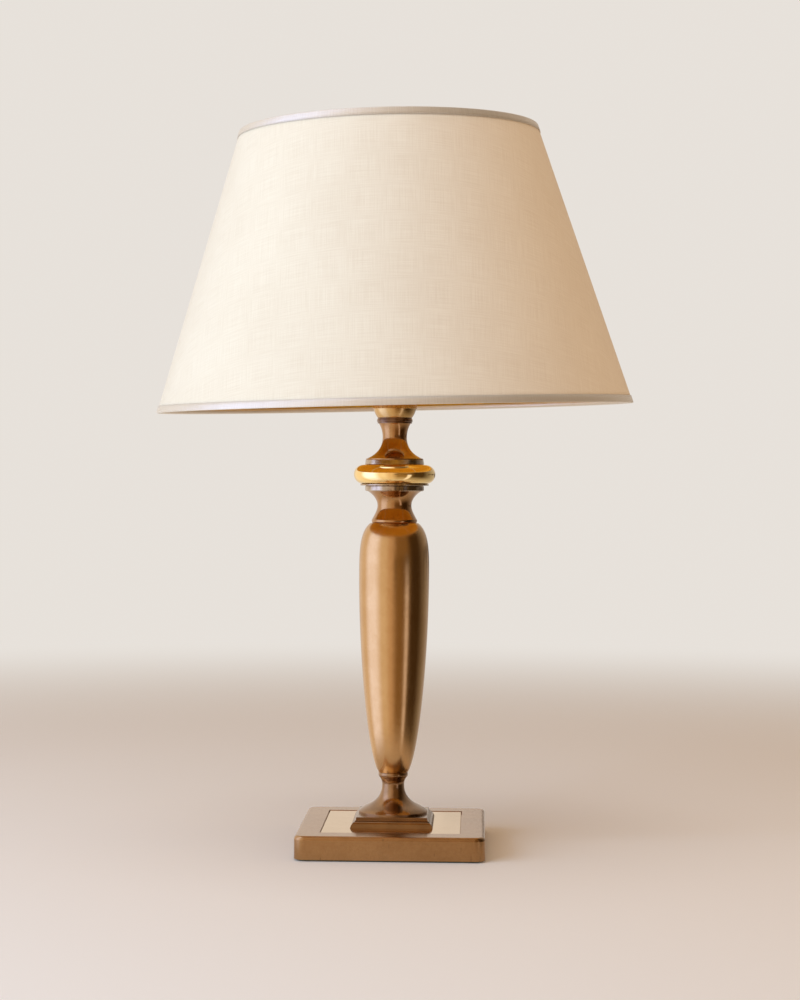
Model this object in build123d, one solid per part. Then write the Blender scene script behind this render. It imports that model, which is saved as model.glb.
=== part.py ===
"""Candlestick table lamp: turned brass column on a square weighted base, with an empire shade.

Millimetres. The origin is the centre of the felt's underside, on the column's axis. +Z is up,
-Y is the front and the lamp holder stands on the column's top. A turned piece is described by
its half outline: (radius, height above the piece's own seat).
"""

import math
import os

from build123d import *

# Sharp metal edges are broken by this much
edge_break = 0.3

# Square base: a cast shell with an inlaid top, closed below by a board and felt
base_width = 156.0
base_shell_height = 19.1
base_wall = 3.4
base_top_plate = 3.0
base_corner_radius = 8.5
base_edge_radius = 3.2
felt_thickness = 1.3
felt_margin = 1.6
board_thickness = 1.6
board_ledge = 1.6
board_clearance = 0.2
inlay_width = 114.8
inlay_thickness = 1.3
inlay_sunk = 0.35
inlay_groove = 0.6
weight_thickness = 7.0
weight_margin = 1.5
weight_slot_width = 12.0

# Inlet bush for the cord, in the middle of the back wall
inlet_height = 9.2
inlet_bore_radius = 3.6
bush_wall = 1.5
bush_rim = 2.0
bush_rim_thickness = 1.8
bush_lip = 0.8
bush_lip_thickness = 1.2
bush_clearance = 0.1

# Threaded tube that clamps the whole column, with its nut and washer
rod_radius = 5.0
rod_bore_radius = 3.9
rod_clearance = 0.2
rod_projection = 1.0
washer_radius = 13.0
washer_thickness = 1.6
nut_across_flats = 14.0
nut_thickness = 2.6

# Square plinth: an ovolo under a stepped slab
ovolo_half_width = 34.4
ovolo_setback = 3.0
ovolo_height = 4.8
ovolo_swell = (0.36, 0.56)
groove_depth = 1.2
groove_height = 0.7
step_half_width = 31.2
step_height = 1.0
slab_half_width = 29.7
slab_height = 1.95
slab_edge_radius = 0.4

# Bell foot and the ring on it
foot_height = 30.4
foot_rim_radius = 29.0
foot_rim_height = 1.8
foot_flare = [(0.3, 0.25), (1, 0.27)]
foot_throat = [(0, 0.42), (0.5, 0.77)]
foot_waist_radius = 9.4
foot_waist_height = 24.2
foot_top_radius = 11.8
foot_hollow_radius = 23.0
foot_hollow_depth = 2.2
foot_ring_radius = 12.5
foot_ring_seat_radius = 11.9
foot_ring_height = 4.0

# Vase: a spun tube, closed at both ends
vase_height = 210.65
vase_bottom_radius = 12.6
vase_belly_radius = 29.7
vase_belly_height = 165.3
vase_top_radius = 20.3
vase_swell = [(0.66, 0.12), (1, 0.68)]
vase_shoulder = [(0, 0.42), (-0.03, 0.84)]
vase_wall = 1.8
vase_end_wall = 4.0

# Lower neck, the two discs over it, the gold ring and the upper neck
neck_ring_radius = 19.3
neck_ring_height = 3.8
neck_height = 27.0
neck_ring_step = 0.7
neck_waist_radius = 14.4
neck_waist_height = 15.2
neck_top_radius = 22.8
fillet_disc_radius = 24.9
fillet_disc_height = 4.7
fillet_disc_chamfer = 0.7
thin_disc_radius = 29.0
thin_disc_height = 1.3
gold_ring_radius = 34.5
gold_ring_section_radius = 8.2
upper_disc_top_radius = 24.5
upper_disc_radius = 25.1
upper_disc_height = 4.2
upper_neck_height = 30.6
upper_neck_foot_radius = 24.3
upper_neck_lip = 0.8
upper_neck_flare = [(0.45, 0.13), (1, 0.39)]
upper_neck_throat = [(0, 0.35), (0.36, 0.75)]
upper_neck_waist_radius = 10.3
upper_neck_waist_height = 19.2
upper_neck_top_radius = 13.6
check_ring_radius = 15.1
check_ring_height = 4.8
check_ring_band = 2.4
check_ring_groove = 0.5

# Lamp holder with an outer thread for the shade
dome_height = 7.6
dome_foot_radius = 14.5
dome_rim_radius = 17.9
dome_wall = 1.3
dome_boss_wall = 2.6
dome_boss_height = 5.2
shell_wall = 1.5
collar_radius = 18.8
collar_height = 4.4
collar_notch_count = 30
collar_notch_radius = 0.45
shell_body_radius = 18.2
shell_body_height = 10.8
shell_flange_radius = 24.0
shell_flange_thickness = 1.5
shell_thread_radius = 19.7
shell_thread_height = 15.5
shell_lip = 1.6
insulator_flange_height = 1.6
insulator_radius = 14.9
insulator_height = 10.5
insulator_clearance = 0.3
screw_sleeve_radius = 13.7
screw_sleeve_wall = 0.5
screw_sleeve_height = 21.5
contact_width = 5.0
contact_length = 14.0
contact_thickness = 0.5
contact_rise = 3.4
terminal_screw_radius = 1.5
terminal_screw_head_radius = 2.5
terminal_screw_head_height = 1.4
terminal_screw_length = 5.0
terminal_screw_circle_radius = 11.6

# Shade ring: the nut that clamps the shade's washer on the flange
shade_ring_clearance = 0.3
shade_ring_radius = 27.0
shade_ring_height = 5.0
shade_ring_edge = 0.8
shade_ring_notch_count = 16
shade_ring_notch_radius = 1.6

# Bulb
tip_clearance = 0.3
tip_radius = 4.8
tip_height = 1.6
bulb_insulator_height = 4.0
bulb_cap_radius = 13.1
bulb_cap_height = 20.5
bulb_cap_wall = 0.4
bulb_cap_entry = 1.0
bulb_collar_height = 2.0
bulb_glass_radius = 30.0
bulb_glass_centre = 48.5
bulb_neck_radius = 14.4
bulb_glass_wall = 0.9
bulb_seat = 0.2

# Shade: an empire cone on two wires, hung on the washer by three arms
shade_bottom_radius = 199.9
shade_top_radius = 125.2
shade_height = 233.0
shade_bottom_level = 371.3
shade_lean = 1.95
shade_lean_towards = 220.0
cover_thickness = 0.6
lining_thickness = 0.5
glue_thickness = 0.1
wire_radius = 1.4
binding_thickness = 0.6
binding_height = 5.4
binding_inner_height = 3.4
binding_edge_radius = 1.0
washer_gap = 0.3
shade_washer_radius = 31.0
shade_washer_thickness = 1.5
shade_washer_clearance = 0.9
arm_count = 3
arm_first_angle = 90.0
arm_radius = 1.7
arm_overlap = 5.0
arm_level_run = 16.0
arm_bend_radius = 12.0
weld_gap = 0.05

# Levels and radii that follow
rod_hole_radius = rod_radius + rod_clearance
shell_bottom = felt_thickness
base_top = shell_bottom + base_shell_height
plate_underside = base_top - base_top_plate
board_top = shell_bottom + board_thickness
mouth_half_width = base_width / 2 - base_wall + board_ledge
cavity_half_width = base_width / 2 - base_wall
washer_top = plate_underside - weight_thickness
nut_top = washer_top - washer_thickness
rod_bottom = nut_top - nut_thickness - rod_projection

inlay_top = base_top - inlay_sunk
plinth_height = ovolo_height + groove_height + step_height + slab_height
foot_bottom = inlay_top + plinth_height
foot_ring_bottom = foot_bottom + foot_height
vase_bottom = foot_ring_bottom + foot_ring_height
neck_bottom = vase_bottom + vase_height
fillet_disc_bottom = neck_bottom + neck_height
thin_disc_bottom = fillet_disc_bottom + fillet_disc_height
gold_ring_bottom = thin_disc_bottom + thin_disc_height
upper_disc_bottom = gold_ring_bottom + 2 * gold_ring_section_radius
upper_neck_bottom = upper_disc_bottom + upper_disc_height
check_ring_bottom = upper_neck_bottom + upper_neck_height
dome_bottom = check_ring_bottom + check_ring_height
rod_top = dome_bottom + dome_boss_height

shell_base = dome_bottom + dome_height
flange_bottom = shell_base + shell_body_height + collar_height
flange_top = flange_bottom + shell_flange_thickness
shell_top = flange_top + shell_thread_height
shell_bore_radius = shell_body_radius - shell_wall
insulator_top = shell_base + insulator_height
contact_top = insulator_top + contact_rise
tip_bottom = contact_top + tip_clearance
bulb_insulator_bottom = tip_bottom + tip_height
bulb_cap_bottom = bulb_insulator_bottom + bulb_insulator_height
bulb_cap_top = bulb_cap_bottom + bulb_cap_height

shade_washer_bottom = flange_top + washer_gap
shade_washer_top = shade_washer_bottom + shade_washer_thickness
shade_ring_bottom = shade_washer_top + washer_gap
wire_inset = cover_thickness + glue_thickness + lining_thickness + glue_thickness + wire_radius


def turned(outline, level=0.0):
    """Turn a closed half outline about the Z axis and stand it at a level."""
    face = Plane.XZ * make_face(outline)
    return Pos(0, 0, level) * revolve(face, Axis.Z)


def between(start, end, shape):
    """Points that steer a curve from start to end, each as its share of the way across and up."""
    return [
        (start[0] + across * (end[0] - start[0]), start[1] + up * (end[1] - start[1]))
        for across, up in shape
    ]


def rounded_square(half_width, corner_radius, bottom, height):
    """A square plate with round upright corners."""
    outline = RectangleRounded(2 * half_width, 2 * half_width, corner_radius)
    return Pos(0, 0, bottom) * extrude(outline, height)


def disc(radius, bottom, height):
    """A plain round blank."""
    return Pos(0, 0, bottom) * Cylinder(radius, height, align=(Align.CENTER, Align.CENTER, Align.MIN))


def rod_hole(bottom, height):
    """The clearance hole that the threaded tube passes through."""
    return disc(rod_hole_radius, bottom, height)


def with_broken_rims(blank, radius):
    """Break the sharp round edges that a turned blank has at a radius."""
    circles = blank.edges().filter_by(GeomType.CIRCLE)
    rims = [edge for edge in circles if abs(edge.radius - radius) < edge_break]
    return chamfer(rims, edge_break)


# ---------------------------------------------------------------- base


def base_shell():
    """Cast box, open below, with a round top edge and a well for the inlay."""
    body = rounded_square(base_width / 2, base_corner_radius, shell_bottom, base_shell_height)
    body = fillet(body.faces().sort_by(Axis.Z)[-1].edges(), base_edge_radius)
    cavity_corner = max(base_corner_radius - base_wall, 0.5)
    cavity = rounded_square(
        cavity_half_width, cavity_corner, board_top, base_shell_height - base_top_plate - board_thickness
    )
    mouth = rounded_square(
        mouth_half_width, cavity_corner + board_ledge, shell_bottom, board_thickness
    )
    well_half_width = inlay_width / 2 + inlay_groove
    well_depth = inlay_thickness + inlay_sunk
    well = Pos(0, 0, base_top - well_depth / 2) * Box(2 * well_half_width, 2 * well_half_width, well_depth)
    inlet = inlet_axis() * Cylinder(inlet_hole_radius(), 4 * base_wall)
    return body - cavity - mouth - well - rod_hole(0, base_top) - inlet


def base_board():
    """Fibre board that closes the shell, seated on the shell's ledge."""
    cavity_corner = max(base_corner_radius - base_wall, 0.5)
    half_width = mouth_half_width - board_clearance
    return rounded_square(half_width, cavity_corner + board_ledge, shell_bottom, board_thickness)


def felt_pad():
    """Felt glued on the board and on the shell's rim."""
    return rounded_square(base_width / 2 - felt_margin, base_corner_radius, 0, felt_thickness)


def inlay_panel():
    """Sheet laid in the well, under the plinth."""
    bottom = inlay_top - inlay_thickness
    plate = Pos(0, 0, bottom + inlay_thickness / 2) * Box(inlay_width, inlay_width, inlay_thickness)
    plate = chamfer(plate.faces().sort_by(Axis.Z)[-1].edges(), edge_break)
    return plate - rod_hole(bottom, inlay_thickness)


def base_weight():
    """Iron plate that steadies the lamp, slotted from the back for the cord."""
    half_width = cavity_half_width - weight_margin
    plate = rounded_square(half_width, base_corner_radius, washer_top, weight_thickness)
    slot = Pos(0, half_width / 2 + washer_radius, washer_top + weight_thickness / 2)
    slot = slot * Box(weight_slot_width, half_width, weight_thickness)
    return plate - slot - rod_hole(washer_top, weight_thickness)


def rod_washer():
    """Washer between the nut and the weight."""
    return disc(washer_radius, nut_top, washer_thickness) - rod_hole(nut_top, washer_thickness)


def rod_nut():
    """Thin hexagon nut on the lower end of the tube."""
    bottom = nut_top - nut_thickness
    blank = RegularPolygon(nut_across_flats / 2, 6, major_radius=False)
    nut = Pos(0, 0, bottom) * extrude(blank, nut_thickness)
    return nut - rod_hole(bottom, nut_thickness)


def threaded_rod():
    """Hollow tube from the nut up into the lamp holder."""
    length = rod_top - rod_bottom
    tube = disc(rod_radius, rod_bottom, length)
    return tube - disc(rod_bore_radius, rod_bottom, length)


def inlet_hole_radius():
    """The hole in the back wall that holds the bush."""
    return inlet_bore_radius + bush_wall + bush_clearance


def inlet_axis():
    """Places a piece that lies on Z along the cord's way out, with its origin in the back wall."""
    return Location((0, base_width / 2 - base_wall / 2, inlet_height), (-90, 0, 0))


def inlet_bush():
    """Grommet with a round outer rim and a small inner lip."""
    outside = base_wall / 2
    body_radius = inlet_bore_radius + bush_wall
    rim_radius = inlet_hole_radius() + bush_rim
    lip_radius = body_radius + bush_lip
    shoulder = outside + bush_rim_thickness
    with BuildLine() as outline:
        Polyline(
            (rim_radius, outside),
            (body_radius, outside),
            (body_radius, -outside),
            (lip_radius, -outside),
            (body_radius, -outside - bush_lip_thickness),
            (inlet_bore_radius, -outside - bush_lip_thickness),
            (inlet_bore_radius, shoulder),
            (body_radius, shoulder),
        )
        RadiusArc((body_radius, shoulder), (rim_radius, outside), bush_rim_thickness + bush_rim)
    return inlet_axis() * turned(outline.line)


# ---------------------------------------------------------------- column


def plinth():
    """Square moulding with mitred corners, as the same outline run along both sides."""
    foot = (ovolo_half_width, 0)
    shoulder = (ovolo_half_width - ovolo_setback, ovolo_height)
    groove_half_width = step_half_width - groove_depth
    step_bottom = ovolo_height + groove_height
    slab_bottom = step_bottom + step_height
    slab_edge = slab_half_width - slab_edge_radius
    with BuildLine() as outline:
        Line((0, 0), foot)
        ThreePointArc(foot, *between(foot, shoulder, [ovolo_swell]), shoulder)
        Polyline(
            shoulder,
            (groove_half_width, ovolo_height),
            (groove_half_width, step_bottom),
            (step_half_width, step_bottom),
        )
        RadiusArc((step_half_width, step_bottom), (slab_half_width, slab_bottom), step_half_width / 12)
        Polyline(
            (slab_half_width, slab_bottom),
            (slab_half_width, plinth_height - slab_edge_radius),
            (slab_edge, plinth_height),
            (0, plinth_height),
        )
        mirror(about=Plane.YZ)
    section = make_face(outline.line)
    run = 2 * ovolo_half_width
    along_y = extrude(Plane.XZ * section, run, both=True)
    along_x = extrude(Plane.YZ * section, run, both=True)
    blank = Pos(0, 0, inlay_top) * (along_y & along_x)
    return blank - rod_hole(inlay_top, plinth_height)


def bell_foot():
    """Bell-shaped foot: an upright rim, an ogee flare and a narrow waist."""
    rim = (foot_rim_radius, foot_rim_height)
    waist = (foot_waist_radius, foot_waist_height)
    top = (foot_top_radius, foot_height)
    with BuildLine() as outline:
        Polyline(
            top,
            (rod_hole_radius, foot_height),
            (rod_hole_radius, foot_hollow_depth),
            (foot_hollow_radius, foot_hollow_depth),
            (foot_hollow_radius, 0),
            (foot_rim_radius, 0),
            rim,
        )
        Bezier(rim, *between(rim, waist, foot_flare), waist)
        Bezier(waist, *between(waist, top, foot_throat), top)
    return turned(outline.line, foot_bottom)


def foot_ring():
    """Half-round ring between the foot and the vase."""
    middle = foot_ring_height / 2
    with BuildLine() as outline:
        Polyline(
            (foot_ring_seat_radius, foot_ring_height),
            (rod_hole_radius, foot_ring_height),
            (rod_hole_radius, 0),
            (foot_ring_seat_radius, 0),
        )
        ThreePointArc(
            (foot_ring_seat_radius, 0), (foot_ring_radius, middle), (foot_ring_seat_radius, foot_ring_height)
        )
    return turned(outline.line, foot_ring_bottom)


def vase_body(thickness):
    """The vase's solid round body, moved inwards by a wall's thickness."""
    foot = (vase_bottom_radius - thickness, 0)
    belly = (vase_belly_radius - thickness, vase_belly_height)
    crown = (vase_top_radius - thickness, vase_height)
    with BuildLine() as outline:
        Bezier(foot, *between(foot, belly, vase_swell), belly)
        Bezier(belly, *between(belly, crown, vase_shoulder), crown)
        Polyline(crown, (0, vase_height), (0, 0), foot)
    return turned(outline.line)


def vase_column():
    """Hollow vase: a spun tube with a thick floor and crown around the tube's hole."""
    hollow = vase_body(vase_wall) & disc(vase_belly_radius, vase_end_wall, vase_height - 2 * vase_end_wall)
    hole = disc(rod_hole_radius, 0, vase_height)
    return Pos(0, 0, vase_bottom) * (vase_body(0) - hollow - hole)


def lower_neck():
    """Waisted neck that stands on a small ring."""
    shoulder = neck_ring_radius - neck_ring_step
    with BuildLine() as outline:
        Polyline(
            (neck_top_radius, neck_height),
            (rod_hole_radius, neck_height),
            (rod_hole_radius, 0),
            (shoulder, 0),
        )
        ThreePointArc(
            (shoulder, 0), (neck_ring_radius, neck_ring_height / 2), (shoulder, neck_ring_height)
        )
        Spline(
            (shoulder, neck_ring_height),
            (neck_waist_radius, neck_waist_height),
            (neck_top_radius, neck_height),
            tangents=[(-0.55, 1), (1.2, 0.75)],
        )
    return turned(outline.line, neck_bottom)


def fillet_disc():
    """Flat disc on the lower neck, with broken edges."""
    blank = disc(fillet_disc_radius, fillet_disc_bottom, fillet_disc_height)
    rims = blank.edges().filter_by(GeomType.CIRCLE)
    blank = chamfer(rims, fillet_disc_chamfer)
    return blank - rod_hole(fillet_disc_bottom, fillet_disc_height)


def thin_disc():
    """Thin disc under the gold ring, with broken edges."""
    blank = disc(thin_disc_radius, thin_disc_bottom, thin_disc_height)
    blank = with_broken_rims(blank, thin_disc_radius)
    return blank - rod_hole(thin_disc_bottom, thin_disc_height)


def gold_ring():
    """Polished ring of round section, flat where it is clamped."""
    core_radius = gold_ring_radius - gold_ring_section_radius
    height = 2 * gold_ring_section_radius
    with BuildLine() as outline:
        Polyline((core_radius, height), (rod_hole_radius, height), (rod_hole_radius, 0), (core_radius, 0))
        ThreePointArc(
            (core_radius, 0), (gold_ring_radius, gold_ring_section_radius), (core_radius, height)
        )
    return turned(outline.line, gold_ring_bottom)


def upper_disc():
    """Slightly tapered disc on the gold ring."""
    with BuildLine() as outline:
        Polyline(
            (rod_hole_radius, 0),
            (upper_disc_radius, 0),
            (upper_disc_top_radius, upper_disc_height),
            (rod_hole_radius, upper_disc_height),
            close=True,
        )
    blank = turned(outline.line, upper_disc_bottom)
    return with_broken_rims(with_broken_rims(blank, upper_disc_radius), upper_disc_top_radius)


def upper_neck():
    """Flared neck between the upper disc and the lamp holder."""
    foot = (upper_neck_foot_radius, upper_neck_lip)
    waist = (upper_neck_waist_radius, upper_neck_waist_height)
    top = (upper_neck_top_radius, upper_neck_height)
    with BuildLine() as outline:
        Polyline(
            top,
            (rod_hole_radius, upper_neck_height),
            (rod_hole_radius, 0),
            (upper_neck_foot_radius, 0),
            foot,
        )
        Bezier(foot, *between(foot, waist, upper_neck_flare), waist)
        Bezier(waist, *between(waist, top, upper_neck_throat), top)
    return turned(outline.line, upper_neck_bottom)


def check_ring():
    """Plain ring under the lamp holder, with a cut line above and below its band."""
    edge = (check_ring_height - check_ring_band) / 2
    groove_radius = check_ring_radius - check_ring_groove
    with BuildLine() as outline:
        Polyline(
            (rod_hole_radius, 0),
            (groove_radius, 0),
            (groove_radius, edge),
            (check_ring_radius, edge),
            (check_ring_radius, edge + check_ring_band),
            (groove_radius, edge + check_ring_band),
            (groove_radius, check_ring_height),
            (rod_hole_radius, check_ring_height),
            close=True,
        )
    return with_broken_rims(turned(outline.line, check_ring_bottom), check_ring_radius)


# ---------------------------------------------------------------- lamp holder


def holder_dome():
    """Cup that the tube's upper end screws into through a short boss."""
    inner_rim = dome_rim_radius - dome_wall
    inner_foot = dome_foot_radius - dome_wall
    boss_radius = rod_radius + dome_boss_wall
    with BuildLine() as outline:
        Polyline(
            (dome_rim_radius, dome_height),
            (inner_rim, dome_height),
            (inner_foot, dome_wall),
            (boss_radius, dome_wall),
            (boss_radius, dome_boss_height),
            (rod_hole_radius, dome_boss_height),
            (rod_hole_radius, 0),
            (dome_foot_radius, 0),
        )
        RadiusArc((dome_foot_radius, 0), (dome_rim_radius, dome_height), -2.2 * dome_height)
    return turned(outline.line, dome_bottom)


def holder_shell():
    """Holder's outer tube: grip collar, body, flange for the shade and threaded zone."""
    flange_level = flange_bottom - shell_base
    thread_level = flange_top - shell_base
    top = shell_top - shell_base
    with BuildLine() as outline:
        Polyline(
            (shell_bore_radius, 0),
            (collar_radius, 0),
            (collar_radius, collar_height),
            (shell_body_radius, collar_height),
            (shell_body_radius, flange_level),
            (shell_flange_radius, flange_level),
            (shell_flange_radius, thread_level),
            (shell_thread_radius, thread_level),
            (shell_thread_radius, top),
            (shell_bore_radius - shell_lip, top),
            (shell_bore_radius - shell_lip, top - shell_wall),
            (shell_bore_radius, top - shell_wall),
            close=True,
        )
    blank = turned(outline.line, shell_base)
    blank = with_broken_rims(blank, collar_radius)
    blank = with_broken_rims(blank, shell_flange_radius)
    notch = disc(collar_notch_radius, shell_base, collar_height)
    return blank - PolarLocations(collar_radius, collar_notch_count) * notch


def holder_insulator():
    """Ceramic insert: a flange seated on the dome's rim and a body under the screw sleeve."""
    flange_radius = shell_bore_radius - insulator_clearance
    flange = disc(flange_radius, shell_base, insulator_flange_height)
    body = disc(insulator_radius, shell_base, insulator_height)
    recess_height = insulator_height / 3
    wire_recess = disc(rod_hole_radius, shell_base, recess_height)
    screws = PolarLocations(terminal_screw_circle_radius, 2) * disc(
        terminal_screw_radius + rod_clearance, shell_base, terminal_screw_length
    )
    return flange + body - wire_recess - screws


def screw_sleeve():
    """Sleeve that takes the bulb's cap, standing on the ceramic."""
    inner_radius = screw_sleeve_radius - screw_sleeve_wall
    floor_radius = math.hypot(contact_length / 2, contact_width / 2) + insulator_clearance
    with BuildLine() as outline:
        Polyline(
            (floor_radius, 0),
            (screw_sleeve_radius, 0),
            (screw_sleeve_radius, screw_sleeve_height),
            (inner_radius, screw_sleeve_height),
            (inner_radius, screw_sleeve_wall),
            (floor_radius, screw_sleeve_wall),
            close=True,
        )
    return turned(outline.line, insulator_top)


def centre_contact():
    """Springy strip folded back over itself in the middle of the ceramic."""
    half_length = contact_length / 2
    half_tongue = contact_length / 5
    with BuildLine() as outline:
        Polyline(
            (-half_length, 0),
            (half_tongue, 0),
            (half_tongue, contact_rise),
            (-half_tongue, contact_rise),
            (-half_tongue, contact_rise - contact_thickness),
            (half_tongue - contact_thickness, contact_rise - contact_thickness),
            (half_tongue - contact_thickness, contact_thickness),
            (-half_length, contact_thickness),
            close=True,
        )
    strip = extrude(Plane.XZ * make_face(outline.line), contact_width / 2, both=True)
    return Pos(0, 0, insulator_top) * strip


def terminal_screws():
    """Two screws that hold the wires' terminals under the ceramic."""
    head_bottom = shell_base - terminal_screw_head_height
    head = disc(terminal_screw_head_radius, head_bottom, terminal_screw_head_height)
    shank = disc(terminal_screw_radius, shell_base, terminal_screw_length)
    return Compound(PolarLocations(terminal_screw_circle_radius, 2) * (head + shank))


def shade_ring():
    """Knurled nut over the washer, with finger notches round its edge."""
    bore_radius = shell_thread_radius + shade_ring_clearance
    blank = disc(shade_ring_radius, shade_ring_bottom, shade_ring_height)
    blank = chamfer(blank.edges().filter_by(GeomType.CIRCLE), shade_ring_edge)
    bore = disc(bore_radius, shade_ring_bottom, shade_ring_height)
    notch = disc(shade_ring_notch_radius, shade_ring_bottom, shade_ring_height)
    notches = PolarLocations(shade_ring_radius + shade_ring_notch_radius / 2, shade_ring_notch_count) * notch
    return blank - bore - notches


# ---------------------------------------------------------------- bulb


def bulb_tip():
    """Soldered contact at the bulb's lower end."""
    blank = disc(tip_radius, tip_bottom, tip_height)
    lower_edge = blank.edges().filter_by(GeomType.CIRCLE).sort_by(Axis.Z)[0]
    return fillet(lower_edge, tip_height / 2)


def bulb_insulator():
    """Dark glass between the tip and the cap."""
    with BuildLine() as outline:
        Polyline(
            (0, 0),
            (tip_radius, 0),
            (bulb_cap_radius - bulb_cap_wall, bulb_insulator_height),
            (0, bulb_insulator_height),
            close=True,
        )
    return turned(outline.line, bulb_insulator_bottom)


def bulb_cap():
    """Cap of the bulb: the screw shell with a plain collar, open above."""
    inner_radius = bulb_cap_radius - bulb_cap_wall
    collar_bottom = bulb_cap_height - bulb_collar_height
    with BuildLine() as outline:
        Polyline(
            (0, bulb_seat),
            (inner_radius, bulb_seat),
            (bulb_cap_radius, bulb_seat + bulb_cap_entry),
            (bulb_cap_radius, collar_bottom),
            (bulb_neck_radius, bulb_cap_height),
            (bulb_neck_radius - bulb_cap_wall, bulb_cap_height),
            (inner_radius, collar_bottom),
            (inner_radius, bulb_seat + bulb_cap_entry + bulb_cap_wall),
            (0, bulb_seat + bulb_cap_entry + bulb_cap_wall),
            close=True,
        )
    return turned(outline.line, bulb_cap_bottom)


def glass_body(thickness):
    """The bulb's pear shape, moved inwards by the glass's thickness."""
    radius = bulb_glass_radius - thickness
    neck = bulb_neck_radius - thickness
    shoulder_angle = math.radians(-35)
    shoulder = (radius * math.cos(shoulder_angle), bulb_glass_centre + radius * math.sin(shoulder_angle))
    with BuildLine() as outline:
        Line((0, thickness), (neck, thickness))
        Spline(
            (neck, thickness),
            shoulder,
            tangents=[(0.05, 1), (-math.sin(shoulder_angle), math.cos(shoulder_angle))],
        )
        ThreePointArc(shoulder, (radius, bulb_glass_centre), (0, bulb_glass_centre + radius))
        Line((0, bulb_glass_centre + radius), (0, thickness))
    return turned(outline.line)


def bulb_glass():
    """Hollow opal glass, seated on the cap's rim."""
    return Pos(0, 0, bulb_cap_top) * (glass_body(0) - glass_body(bulb_glass_wall))


# ---------------------------------------------------------------- shade


def shade_place():
    """Where the shade's own frame stands: its bottom centre on the axis, leaning a little."""
    towards = math.radians(shade_lean_towards)
    tilt_axis = Axis((0, 0, 0), (-math.sin(towards), math.cos(towards), 0))
    tilt = Location((0, 0, 0), tuple(tilt_axis.direction), shade_lean)
    return Pos(0, 0, shade_bottom_level) * tilt


def cone_radius(height):
    """Outer radius of the cover at a height above the shade's bottom."""
    taper = (shade_bottom_radius - shade_top_radius) / shade_height
    return shade_bottom_radius - taper * height


def cone_skin(outer_inset, inner_inset):
    """A skin of the cone between two insets from the cover's outside."""
    with BuildLine() as outline:
        Polyline(
            (cone_radius(0) - outer_inset, 0),
            (cone_radius(shade_height) - outer_inset, shade_height),
            (cone_radius(shade_height) - inner_inset, shade_height),
            (cone_radius(0) - inner_inset, 0),
            close=True,
        )
    return shade_place() * turned(outline.line)


def shade_cover():
    """Woven cover of the shade."""
    return cone_skin(0, cover_thickness)


def shade_lining():
    """Stiff lining laminated inside the cover."""
    outer_inset = cover_thickness + glue_thickness
    return cone_skin(outer_inset, outer_inset + lining_thickness)


def wire_height(at_top):
    """Height of a wire's centre above the shade's bottom."""
    return shade_height - wire_radius if at_top else wire_radius


def wire_hoop(at_top, section_radius):
    """Round hoop just inside the lining, at the cone's top or bottom edge."""
    height = wire_height(at_top)
    hoop = Torus(cone_radius(height) - wire_inset, section_radius)
    return shade_place() * Pos(0, 0, height) * hoop


def binding(at_top):
    """Tape folded over the cone's edge and its wire, as a U whose inner leg only covers the wire."""
    fold = glue_thickness + binding_thickness
    inner_inset = wire_inset + wire_radius
    direction = -1 if at_top else 1
    edge = shade_height if at_top else 0

    def point(inset, distance):
        height = edge + direction * distance
        return (cone_radius(height) - inset, height)

    with BuildSketch() as section:
        with BuildLine():
            Polyline(
                point(-fold, binding_height),
                point(-fold, -fold),
                point(inner_inset + fold, -fold),
                point(inner_inset + fold, binding_inner_height),
                point(inner_inset + glue_thickness, binding_inner_height),
                point(inner_inset + glue_thickness, -glue_thickness),
                point(-glue_thickness, -glue_thickness),
                point(-glue_thickness, binding_height),
                close=True,
            )
        make_face()
        corners = section.vertices().sort_by(Axis.Y, reverse=at_top)[:2]
        fillet(corners, binding_edge_radius)
    return shade_place() * revolve(Plane.XZ * section.sketch, Axis.Z)


def shade_washer():
    """Flat washer that the shade ring clamps on the holder's flange."""
    blank = disc(shade_washer_radius, shade_washer_bottom, shade_washer_thickness)
    hole_radius = shell_thread_radius + shade_washer_clearance
    return blank - disc(hole_radius, shade_washer_bottom, shade_washer_thickness)


def shade_arm(angle, section_radius):
    """One arm: level under the washer, then straight to the bottom wire's centre."""
    towards = Vector(math.cos(math.radians(angle)), math.sin(math.radians(angle)), 0)
    level = Vector(0, 0, shade_washer_bottom - weld_gap - arm_radius)
    wire_centre = towards * (cone_radius(wire_height(False)) - wire_inset)
    foot = (shade_place() * Pos(wire_centre.X, wire_centre.Y, wire_height(False))).position
    start = towards * (shade_washer_radius - arm_overlap) + level
    bend = towards * (shade_washer_radius + arm_level_run) + level
    path = FilletPolyline(start, bend, foot, radius=arm_bend_radius)
    section = Plane(path @ 0, z_dir=path % 0) * Circle(section_radius)
    return sweep(section, path=path)


def arms(section_radius):
    """All the arms, evenly spaced, with the first one at the back."""
    spacing = 360 / arm_count
    return [shade_arm(arm_first_angle + number * spacing, section_radius) for number in range(arm_count)]


def shade_arms():
    """Arms brazed under the washer and butted against the bottom wire."""
    hoop = wire_hoop(False, wire_radius + weld_gap)
    return Compound([arm - hoop for arm in arms(arm_radius)])


def bottom_binding():
    """Tape round the bottom edge, slit where the arms pass."""
    return binding(False) - arms(arm_radius + glue_thickness)


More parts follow.
